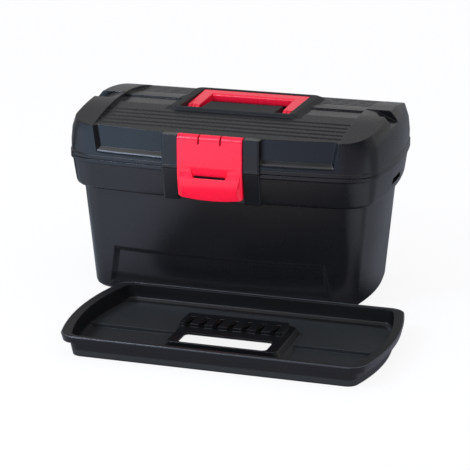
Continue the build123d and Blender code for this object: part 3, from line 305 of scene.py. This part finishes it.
BLACK = MouldedPolypropylene(
    "black_polypropylene_moulded",
    colour="111214",
    shade="0E0F11",
    roughness=0.27,
    # Painted shade: a dull, darker foot hides the lower bevel of the front panel and stands in for its shade
    matt=(
        MattZone(
            (-0.125, -0.2, -0.01), (0.125, -0.05, 0.021), roughness=0.95, soft=0.003, colour="0A0A0B"
        ),
    ),
)
LID_BLACK = MouldedPolypropylene(
    "black_polypropylene_lid",
    colour="111214",
    shade="0E0F11",
    roughness=0.27,
    # The surround and the pocket of the handle are duller than the rest of the lid
    matt=(MattZone((-0.077, -0.0365, 0.18), (0.077, 0.0645, 0.22)),),
)
TRAY_BLACK = MouldedPolypropylene(
    "black_polypropylene_tray",
    colour="101112",
    shade="0D0E0F",
    roughness=0.3,
    grain_mm=0.7,
    grain_depth_mm=0.014,
    # Painted light: the floor is duller and paler up to where the rear wall should begin, so the darker strip
    # left in front of the wall is painted shade; the rim is duller
    matt=(
        MattZone((-1.0, -1.0, 0.0012), (1.0, -0.134, 0.0072), roughness=0.55, colour="232627"),
        MattZone((-1.0, -1.0, 0.0222), (1.0, 1.0, 0.03), roughness=0.55),
    ),
)
RED = MouldedPolypropylene(
    "red_polypropylene_moulded",
    colour="F4183A",
    shade="EF1636",
    roughness=0.26,
    grain_mm=0.5,
    grain_depth_mm=0.006,
)
# Painted highlight: paler and glossier than the tray, it stands in for the line of light along a crisp lip
PAINTED_HIGHLIGHT_BLACK = MouldedPolypropylene(
    "black_polypropylene_rubbed", colour="30353B", shade="2A2E33", roughness=0.2, edge_mm=0.2, specular=0.9
)
# Painted shade: the darkest and dullest black stands in for the shade deep in the latch slit and the bit slots
PAINTED_SHADE_BLACK = MouldedPolypropylene(
    "black_polypropylene_slit", colour="0A0607", shade="080506", roughness=0.8, specular=0.15, edge_mm=0.1
)
STEEL = DrawnSteelWire()


def dress(node: Node, material: bpy.types.Material) -> None:
    """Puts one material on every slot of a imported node.

    Args:
        node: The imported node.
        material: Its finish.
    """
    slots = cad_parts[node.value].material_slots
    for slot in slots:
        slot.material = material
    LOG.info("%s wears %s", node.value, material.name)


@dataclass(frozen=True)
class MouldedSkin:
    """Shades a packed moulding as one skin, creased only at its sharp edges.

    Points nearer than the join distance become one; the shape stays as packed.
    """

    crease_degrees: float = 26.0
    join_mm: float = 0.004
    face_weight: int = 50

    def group(self) -> bpy.types.NodeTree:
        """Makes the geometry nodes that join the loose triangles and mark the creases."""
        tree = bpy.data.node_groups.new("moulded_skin", "GeometryNodeTree")
        tree.interface.new_socket("Geometry", in_out="INPUT", socket_type="NodeSocketGeometry")
        tree.interface.new_socket("Geometry", in_out="OUTPUT", socket_type="NodeSocketGeometry")
        start = add_node(tree, "NodeGroupInput")
        joined = add_node(
            tree, "GeometryNodeMergeByDistance", {"Geometry": start.outputs[0]}, distance=self.join_mm * MM
        )
        smooth = add_node(tree, "GeometryNodeSetShadeSmooth", {"Geometry": joined.outputs[0]}, domain="FACE")
        smooth.inputs["Shade Smooth"].default_value = True
        angle = add_node(tree, "GeometryNodeInputMeshEdgeAngle")
        sharp = add_node(
            tree, "FunctionNodeCompare", {0: angle.outputs["Unsigned Angle"]}, operation="GREATER_THAN"
        )
        sharp.inputs[1].default_value = math.radians(self.crease_degrees)
        creased = add_node(
            tree,
            "GeometryNodeSetShadeSmooth",
            {"Geometry": smooth.outputs[0], "Selection": sharp.outputs[0]},
            domain="EDGE",
        )
        creased.inputs["Shade Smooth"].default_value = False
        add_node(tree, "NodeGroupOutput", {0: creased.outputs[0]})
        return tree

    def apply(self, nodes: list[Node]) -> None:
        """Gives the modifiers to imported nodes.

        Args:
            nodes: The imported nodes.
        """
        tree = self.group()
        for node in nodes:
            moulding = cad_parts[node.value]
            skin = moulding.modifiers.new("moulded_skin", "NODES")
            skin.node_group = tree
            weighted = moulding.modifiers.new("face_weighted_normals", "WEIGHTED_NORMAL")
            weighted.keep_sharp = True
            weighted.weight = self.face_weight
            LOG.info("%s is shaded as one skin", node.value)


# ---------------------------------------------------------------- small pieces
def start_block(
    name: str, low: tuple[float, float, float], high: tuple[float, float, float]
) -> bpy.types.Object:
    """Adds a block to shape, with its place in its mesh.

    Args:
        name: Name of the piece.
        low: Lowest corner in millimetres.
        high: Highest corner in millimetres.

    Returns:
        The new object, alone selected.
    """
    bpy.ops.object.select_all(action="DESELECT")
    centre = [(a + b) / 2 * MM for a, b in zip(low, high)]
    bpy.ops.mesh.primitive_cube_add(size=1.0, location=centre)
    block = bpy.context.object
    block.name = name
    block.scale = [(b - a) * MM for a, b in zip(low, high)]
    bpy.ops.object.transform_apply(location=True, rotation=False, scale=True)
    return block


def pick_faces(block: bpy.types.Object, normal: tuple[float, float, float]) -> None:
    """Selects the faces that look one way, in edit mode.

    Args:
        block: The object in edit mode.
        normal: The way that they look.
    """
    bpy.ops.mesh.select_all(action="DESELECT")
    mesh = bmesh.from_edit_mesh(block.data)
    for face in mesh.faces:
        face.select = face.normal.dot(Vector(normal)) > FACING
    mesh.select_flush(True)
    bmesh.update_edit_mesh(block.data)


def finish_block(
    block: bpy.types.Object, edge_mm: float, material: bpy.types.Material, body: Body
) -> None:
    """Rounds the edges of a piece, dresses it and lets it ride.

    Args:
        block: The piece.
        edge_mm: Radius of its edges.
        material: Its finish.
        body: The body that it rides on.
    """
    rounding = block.modifiers.new("edges", "BEVEL")
    rounding.width = edge_mm * MM
    rounding.segments = EDGE_SEGMENTS
    rounding.limit_method = "ANGLE"
    bpy.ops.object.modifier_apply(modifier=rounding.name)
    bpy.ops.object.shade_smooth_by_angle(angle=math.radians(SMOOTH_DEGREES))
    block.data.materials.append(material)
    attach(block, body.value)
    LOG.info("%s is made", block.name)


@dataclass
class HandlePocket:
    """The shelf in the handle pocket, in front of the grip bar, over the steeper ramp of the lid.

    The rear edge of its top, found by its reach from the top and from the rear, falls a little.
    """

    half: float = 41.5
    front: float = -30.8
    rear: float = 16.0
    foot: float = 184.2
    top: float = 197.8
    fall: float = 1.2
    reach_down: float = 1.5
    reach_forward: float = 4.0
    field_rim: float = 2.2
    field_depth: float = 0.4
    edge: float = 0.5

    def build(self, material: bpy.types.Material) -> None:
        """Makes the shelf: a block that falls slightly to the rear, with a shallow sunk field on top.

        Args:
            material: The finish of the lid.
        """
        shelf = start_block(
            "pocket_shelf", (-self.half, self.front, self.foot), (self.half, self.rear, self.top)
        )
        bpy.ops.object.mode_set(mode="EDIT")
        pick_faces(shelf, (0, 0, 1))
        bpy.ops.mesh.inset(thickness=self.field_rim * MM, depth=-self.field_depth * MM)
        bpy.ops.mesh.select_all(action="DESELECT")
        mesh = bmesh.from_edit_mesh(shelf.data)
        least_z, least_y = (self.top - self.reach_down) * MM, (self.rear - self.reach_forward) * MM
        for vertex in mesh.verts:
            vertex.select = vertex.co.z > least_z and vertex.co.y > least_y
        mesh.select_flush_mode()
        bmesh.update_edit_mesh(shelf.data)
        bpy.ops.transform.translate(value=(0, 0, -self.fall * MM))
        bpy.ops.object.mode_set(mode="OBJECT")
        finish_block(shelf, self.edge, material, Body.LID)


@dataclass
class BitSlots:
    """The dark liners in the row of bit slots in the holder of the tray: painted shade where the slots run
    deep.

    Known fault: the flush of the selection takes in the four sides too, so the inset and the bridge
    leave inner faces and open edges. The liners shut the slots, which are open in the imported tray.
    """

    count: int = 7
    pitch: float = 15.2
    middle: float = 51.8
    half: float = 2.88
    front: float = -207.2
    rear: float = -185.85
    foot: float = 8.0
    top: float = 16.8
    wall: float = 0.35
    edge: float = 0.08

    def build(self, material: bpy.types.Material) -> None:
        """Makes one painted-shade liner and copies it along the row.

        Args:
            material: The finish of the liners, a black that paints the shade.
        """
        start = self.middle - (self.count - 1) / 2 * self.pitch
        first = start_block(
            "bit_slot_sleeve_1",
            (start - self.half, self.front, self.foot),
            (start + self.half, self.rear, self.top),
        )
        bpy.ops.object.mode_set(mode="EDIT")
        bpy.ops.mesh.select_all(action="DESELECT")
        mesh = bmesh.from_edit_mesh(first.data)
        for face in mesh.faces:
            face.select = abs(face.normal.z) > FACING
        mesh.select_flush(True)
        bmesh.update_edit_mesh(first.data)
        bpy.ops.mesh.inset(thickness=self.wall * MM, depth=0.0, use_individual=True)
        bpy.ops.mesh.bridge_edge_loops()
        bpy.ops.object.mode_set(mode="OBJECT")
        for index in range(1, self.count):
            bpy.ops.object.select_all(action="DESELECT")
            first.select_set(True)
            bpy.context.view_layer.objects.active = first
            bpy.ops.object.duplicate()
            shade_liner = bpy.context.object
            shade_liner.name = f"bit_slot_sleeve_{index + 1}"
            bpy.ops.transform.translate(value=(index * self.pitch * MM, 0, 0))
            bpy.ops.object.transform_apply(location=True, rotation=False, scale=False)
            finish_block(shade_liner, self.edge, material, Body.TRAY)
        bpy.context.view_layer.objects.active = first
        finish_block(first, self.edge, material, Body.TRAY)


@dataclass
class TrayRim:
    """The round bead along the outer edge of the tray's rim, which catches a line of light."""

    radius: float = 0.9
    sunk: float = 0.5
    join: float = 0.004
    flat: float = 0.02
    resolution: int = 3
    crease_degrees: float = 50.0

    def trace(self) -> bpy.types.Mesh:
        """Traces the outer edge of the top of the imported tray, drawn in by the radius of the bead.

        Returns:
            A mesh of the edge alone.
        """
        low, high = (Vector(corner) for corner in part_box(Node.TRAY.value))
        outline = bmesh.new()
        outline.from_mesh(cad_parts[Node.TRAY.value].data)
        bmesh.ops.remove_doubles(outline, verts=outline.verts, dist=self.join * MM)
        below = [vertex for vertex in outline.verts if vertex.co.z < high.z - self.flat * MM]
        bmesh.ops.delete(outline, geom=below, context="VERTS")
        edges = [edge for edge in outline.edges if len(edge.link_faces) == 1]
        widest = max((vertex for edge in edges for vertex in edge.verts), key=lambda vertex: vertex.co.x)
        outer, found = {widest}, [widest]
        while found:
            vertex = found.pop()
            for edge in vertex.link_edges:
                other = edge.other_vert(vertex)
                if len(edge.link_faces) == 1 and other not in outer:
                    outer.add(other)
                    found.append(other)
        inner = [vertex for vertex in outline.verts if vertex not in outer]
        bmesh.ops.delete(outline, geom=list(outline.faces), context="FACES_ONLY")
        bmesh.ops.delete(outline, geom=[vertex for vertex in inner if vertex.is_valid], context="VERTS")
        loose = [edge for edge in outline.edges if edge not in edges]
        bmesh.ops.delete(outline, geom=loose, context="EDGES")
        centre, half = (low + high) / 2, (high - low) / 2
        for vertex in outline.verts:
            vertex.co.x = centre.x + (vertex.co.x - centre.x) * (1 - self.radius * MM / half.x)
            vertex.co.y = centre.y + (vertex.co.y - centre.y) * (1 - self.radius * MM / half.y)
            vertex.co.z = high.z - self.sunk * MM
        mesh = bpy.data.meshes.new("tray_rim_bead")
        outline.to_mesh(mesh)
        outline.free()
        return mesh

    def build(self, material: bpy.types.Material) -> None:
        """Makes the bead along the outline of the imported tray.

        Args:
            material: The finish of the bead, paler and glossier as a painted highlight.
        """
        bead = bpy.data.objects.new("tray_rim_bead", self.trace())
        bpy.context.scene.collection.objects.link(bead)
        bpy.ops.object.select_all(action="DESELECT")
        bead.select_set(True)
        bpy.context.view_layer.objects.active = bead
        bpy.ops.object.convert(target="CURVE")
        bead = bpy.context.object
        bead.data.bevel_depth = self.radius * MM
        bead.data.bevel_resolution = self.resolution
        bpy.ops.object.convert(target="MESH")
        bead = bpy.context.object
        bpy.ops.object.shade_smooth_by_angle(angle=math.radians(self.crease_degrees))
        bead.data.materials.clear()
        bead.data.materials.append(material)
        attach(bead, Body.TRAY.value)
        LOG.info("%s is made", bead.name)


@dataclass
class LatchSlit:
    """A dark liner in the mouth of the slit at the foot of the scoop in the latch: painted shade where the
    slit runs deep.
    """

    half: float = 16.4
    front: float = -117.3
    rear: float = -113.6
    foot: float = 145.3
    top: float = 147.0
    wall: float = 0.3
    depth: float = 1.5
    edge: float = 0.15

    def build(self, material: bpy.types.Material) -> None:
        """Makes the painted shade: a thin liner in the mouth, with a groove along its front.

        Args:
            material: The finish of the liner, a black that paints the shade.
        """
        liner = start_block(
            "latch_slit_mouth", (-self.half, self.front, self.foot), (self.half, self.rear, self.top)
        )
        bpy.ops.object.mode_set(mode="EDIT")
        pick_faces(liner, (0, -1, 0))
        bpy.ops.mesh.inset(thickness=self.wall * MM, depth=-self.depth * MM)
        bpy.ops.object.mode_set(mode="OBJECT")
        finish_block(liner, self.edge, material, Body.LATCH)


# ---------------------------------------------------------------- studio
@dataclass(frozen=True)
class Card:
    """A soft-edged patch that glows on the floor for glossy rays alone, as a sheet of card would."""

    low: tuple[float, float]
    high: tuple[float, float]
    glow: tuple[float, float, float]
    soft: float = 0.06

    def build(self, tree: bpy.types.NodeTree, axes: bpy.types.Node) -> bpy.types.NodeSocket:
        """Makes the light of the card.

        Args:
            tree: Node tree of the floor.
            axes: Node that splits Object coordinates.

        Returns:
            A colour socket, black outside the card.
        """
        light = None
        for axis in range(2):
            for edge, sign in ((self.low[axis], 1.0), (self.high[axis], -1.0)):
                side = add_soft_edge(tree, axes.outputs[axis], edge, sign, self.soft)
                scaled = add_node(tree, "ShaderNodeVectorMath", {3: side}, operation="SCALE")
                if light is None:
                    scaled.inputs[0].default_value = self.glow
                else:
                    tree.links.new(light, scaled.inputs[0])
                light = scaled.outputs[0]
        return light


@dataclass(frozen=True)
class Lamp:
    """A soft rectangular lamp that faces the box."""

    name: str
    place: tuple[float, float, float]
    size: tuple[float, float]
    watts: float
    aim: float = 0.1
    glossy: bool = True
    tint: str = "FFFFFF"

    def build(self) -> None:
        """Adds the lamp, turned to a point at its aim height over the middle of the box."""
        data = bpy.data.lights.new(self.name, "AREA")
        data.shape = "RECTANGLE"
        data.size, data.size_y = self.size
        data.energy = self.watts
        data.color = linear(self.tint)[:3]
        lamp = bpy.data.objects.new(self.name, data)
        lamp.location = self.place
        lamp.visible_glossy = self.glossy
        towards_lamp = Vector(self.place) - Vector((0, 0, self.aim))
        lamp.rotation_euler = towards_lamp.to_track_quat("Z", "Y").to_euler()
        bpy.context.scene.collection.objects.link(lamp)


@dataclass
class Studio:
    """Pale floor, room, soft lamps and the camera.

    The camera and diffuse rays meet a plain pale floor and an even room. Glossy rays meet the cards
    and the bands of the room instead, so the gloss of the object doesn't mirror the pale floor.
    """

    azimuth: float = 17.6
    elevation: float = 17.0
    distance: float = 2.186
    target: tuple[float, float, float] = (-0.0084, 0.0, 0.0495)
    lens_mm: float = 150.12766
    sensor_mm: float = 36.0
    clip_end: float = 100.0
    floor_size: float = 30.0
    floor_drop: float = 0.0002
    floor_colour: str = "F4F4F4"
    shadow_share: float = 0.12
    # The levels of the light began as a fit of single-light renders and were then set one by one
    cards: tuple[Card, ...] = (
        Card((-9.0, -9.0), (-0.25, -0.45), (1.05, 1.4, 1.9)),
        Card((-0.25, -9.0), (0.12, -0.7), (0.34, 0.53, 0.88)),
        Card((-0.25, -0.7), (0.12, -0.4), (1.12, 0.88, 0.76)),
        Card((0.12, -9.0), (9.0, -0.4), (0.39, 0.36, 0.42)),
        Card((-9.0, -0.45), (-0.14, -0.12), (0.84, 0.88, 1.10)),
        Card((-0.14, -0.4), (0.3, -0.08), (0.32, 0.32, 0.40)),
        Card((-9.0, -0.12), (-0.14, 0.12), (0.45, 0.52, 0.63)),
        Card((0.3, -0.4), (9.0, 0.0), (0.72, 0.76, 0.86)),
        Card((0.14, 0.0), (9.0, 0.4), (0.27, 0.29, 0.34)),
        Card((0.14, 0.4), (9.0, 9.0), (0.26, 0.28, 0.32)),
        Card((-9.0, 0.3), (0.14, 9.0), (0.3, 0.32, 0.36)),
    )
    room_rear: tuple[tuple[float, float], ...] = (
        (0.0, 0.5),
        (0.08, 0.36),
        (0.16, 0.2),
        (0.29, 0.8),
        (0.4, 0.2),
        (0.55, 0.36),
        (0.7, 0.68),
        (0.84, 0.25),
        (1.0, 0.15),
    )
    room_front: tuple[tuple[float, float], ...] = (
        (0.0, 0.0),
        (0.5, 0.0),
        (0.68, 0.9),
        (0.84, 2.2),
        (0.95, 0.3),
        (1.0, 0.15),
    )
    room_seam: float = 0.1
    room_diffuse: float = 1.0
    world_colour: str = "F2F6FF"
    lamps: tuple[Lamp, ...] = (
        Lamp("main_softbox", (-0.835, -1.19, 1.22), (0.6, 0.4), 14, tint="D2E2FF"),
        Lamp("low_fill", (0.35, -1.9, 0.25), (1.6, 0.4), 13, glossy=False),
    )

    def build_camera(self) -> None:
        """Places the camera and makes it the scene's own."""
        azimuth, elevation = math.radians(self.azimuth), math.radians(self.elevation)
        back = Vector(
            (
                math.sin(azimuth) * math.cos(elevation),
                -math.cos(azimuth) * math.cos(elevation),
                math.sin(elevation),
            )
        )
        data = bpy.data.cameras.new("studio_camera")
        data.sensor_width = self.sensor_mm
        data.lens = self.lens_mm
        data.clip_end = self.clip_end
        camera = bpy.data.objects.new("studio_camera", data)
        camera.location = Vector(self.target) + back * self.distance
        camera.rotation_euler = (-back).to_track_quat("-Z", "Y").to_euler()
        bpy.context.scene.collection.objects.link(camera)
        bpy.context.scene.camera = camera

    def build_floor(self) -> None:
        """Adds the pale floor: plain to the camera and to diffuse light, and the cards to glossy rays."""
        bpy.ops.object.select_all(action="DESELECT")
        bpy.ops.mesh.primitive_plane_add(size=self.floor_size, location=(0, 0, -self.floor_drop))
        floor = bpy.context.object
        floor.name = "studio_floor"
        material = bpy.data.materials.new("pale_paper")
        material.use_nodes = True
        tree = material.node_tree
        tree.nodes.clear()
        rays = add_node(tree, "ShaderNodeLightPath")
        paper = add_node(tree, "ShaderNodeBsdfDiffuse", color=linear(self.floor_colour))
        glow = add_node(tree, "ShaderNodeEmission", color=linear("FFFFFF"), strength=1.0)
        seen = add_node(tree, "ShaderNodeMixShader", {1: glow.outputs[0], 2: paper.outputs[0]})
        seen.inputs[0].default_value = self.shadow_share
        place = add_node(tree, "ShaderNodeTexCoord").outputs["Object"]
        axes = add_node(tree, "ShaderNodeSeparateXYZ", {0: place})
        light = self.cards[0].build(tree, axes)
        for card in self.cards[1:]:
            light = add_node(
                tree, "ShaderNodeVectorMath", {0: light, 1: card.build(tree, axes)}, operation="ADD"
            ).outputs[0]
        mirrored = add_node(tree, "ShaderNodeEmission", {"Color": light}, strength=1.0)
        rest = add_node(
            tree,
            "ShaderNodeMixShader",
            {0: rays.outputs["Is Glossy Ray"], 1: paper.outputs[0], 2: mirrored.outputs[0]},
        )
        both = add_node(
            tree,
            "ShaderNodeMixShader",
            {0: rays.outputs["Is Camera Ray"], 1: rest.outputs[0], 2: seen.outputs[0]},
        )
        add_node(tree, "ShaderNodeOutputMaterial", {"Surface": both.outputs[0]})
        floor.data.materials.append(material)

    def build_ramp(
        self, tree: bpy.types.NodeTree, height: bpy.types.NodeSocket, stops: tuple[tuple[float, float], ...]
    ) -> bpy.types.NodeSocket:
        """Makes the light of the room by height.

        Args:
            tree: Node tree of the room.
            height: Socket with the height, 0 at the horizon and 1 overhead.
            stops: Heights and levels.

        Returns:
            A socket with the level.
        """
        ramp = add_node(tree, "ShaderNodeValToRGB", {0: height})
        band = ramp.color_ramp
        band.interpolation = "EASE"
        for place, level in stops[1:-1]:
            band.elements.new(place)
        for element, (place, level) in zip(band.elements, stops):
            element.position = place
            element.color = (level, level, level, 1.0)
        return ramp.outputs["Color"]

    def build_world(self) -> None:
        """Lights the room: bands for glossy rays, white to the camera, an even light to the rest."""
        world = bpy.data.worlds.new("studio_room")
        bpy.context.scene.world = world
        world.use_nodes = True
        tree = world.node_tree
        tree.nodes.clear()
        way = add_node(tree, "ShaderNodeTexCoord").outputs["Generated"]
        axes = add_node(tree, "ShaderNodeSeparateXYZ", {0: way})
        behind = add_soft_edge(tree, axes.outputs["Y"], 0.0, 1.0, self.room_seam)
        bands = add_node(
            tree,
            "ShaderNodeMix",
            {
                0: behind,
                6: self.build_ramp(tree, axes.outputs["Z"], self.room_front),
                7: self.build_ramp(tree, axes.outputs["Z"], self.room_rear),
            },
            data_type="RGBA",
        )
        rays = add_node(tree, "ShaderNodeLightPath")
        gloss = add_node(tree, "ShaderNodeBackground", {"Color": bands.outputs[2]}, strength=1.0)
        even = add_node(
            tree, "ShaderNodeBackground", color=linear(self.world_colour), strength=self.room_diffuse
        )
        room = add_node(
            tree,
            "ShaderNodeMixShader",
            {0: rays.outputs["Is Glossy Ray"], 1: even.outputs[0], 2: gloss.outputs[0]},
        )
        seen = add_node(tree, "ShaderNodeBackground", color=linear("FFFFFF"), strength=1.0)
        mix = add_node(
            tree,
            "ShaderNodeMixShader",
            {0: rays.outputs["Is Camera Ray"], 1: room.outputs[0], 2: seen.outputs[0]},
        )
        add_node(tree, "ShaderNodeOutputWorld", {"Surface": mix.outputs[0]})

    def build(self) -> None:
        """Builds the room, the lamps and the camera."""
        bpy.context.scene.view_settings.view_transform = "Standard"
        self.build_world()
        self.build_floor()
        for lamp in self.lamps:
            lamp.build()
        self.build_camera()
        LOG.info("studio is lit")


def main() -> None:
    """Builds the finishes, the details and the studio in order."""
    logging.basicConfig(level=logging.INFO, format="%(name)s: %(message)s")
    black, tray_black, red, steel = BLACK.build(), TRAY_BLACK.build(), RED.build(), STEEL.build()
    MouldedSkin().apply(list(Node))
    lid_black, painted_shade_black = LID_BLACK.build(), PAINTED_SHADE_BLACK.build()
    dress(Node.LID, lid_black)
    pins = (Node.LEFT_HINGE_PIN, Node.RIGHT_HINGE_PIN, Node.LEFT_HANDLE_PIN, Node.RIGHT_HANDLE_PIN)
    for node in (Node.BODY, *pins):
        dress(node, black)
    dress(Node.TRAY, tray_black)
    dress(Node.HANDLE, red)
    dress(Node.LATCH, red)
    dress(Node.LATCH_PIN, steel)
    HandlePocket().build(lid_black)
    # The liners of the latch slit and the bit slots are painted shade
    LatchSlit().build(painted_shade_black)
    BitSlots().build(painted_shade_black)
    # The paler finish of the rim bead is a painted highlight
    TrayRim().build(PAINTED_HIGHLIGHT_BLACK.build())
    Studio().build()


if __name__ == "__main__":
    main()
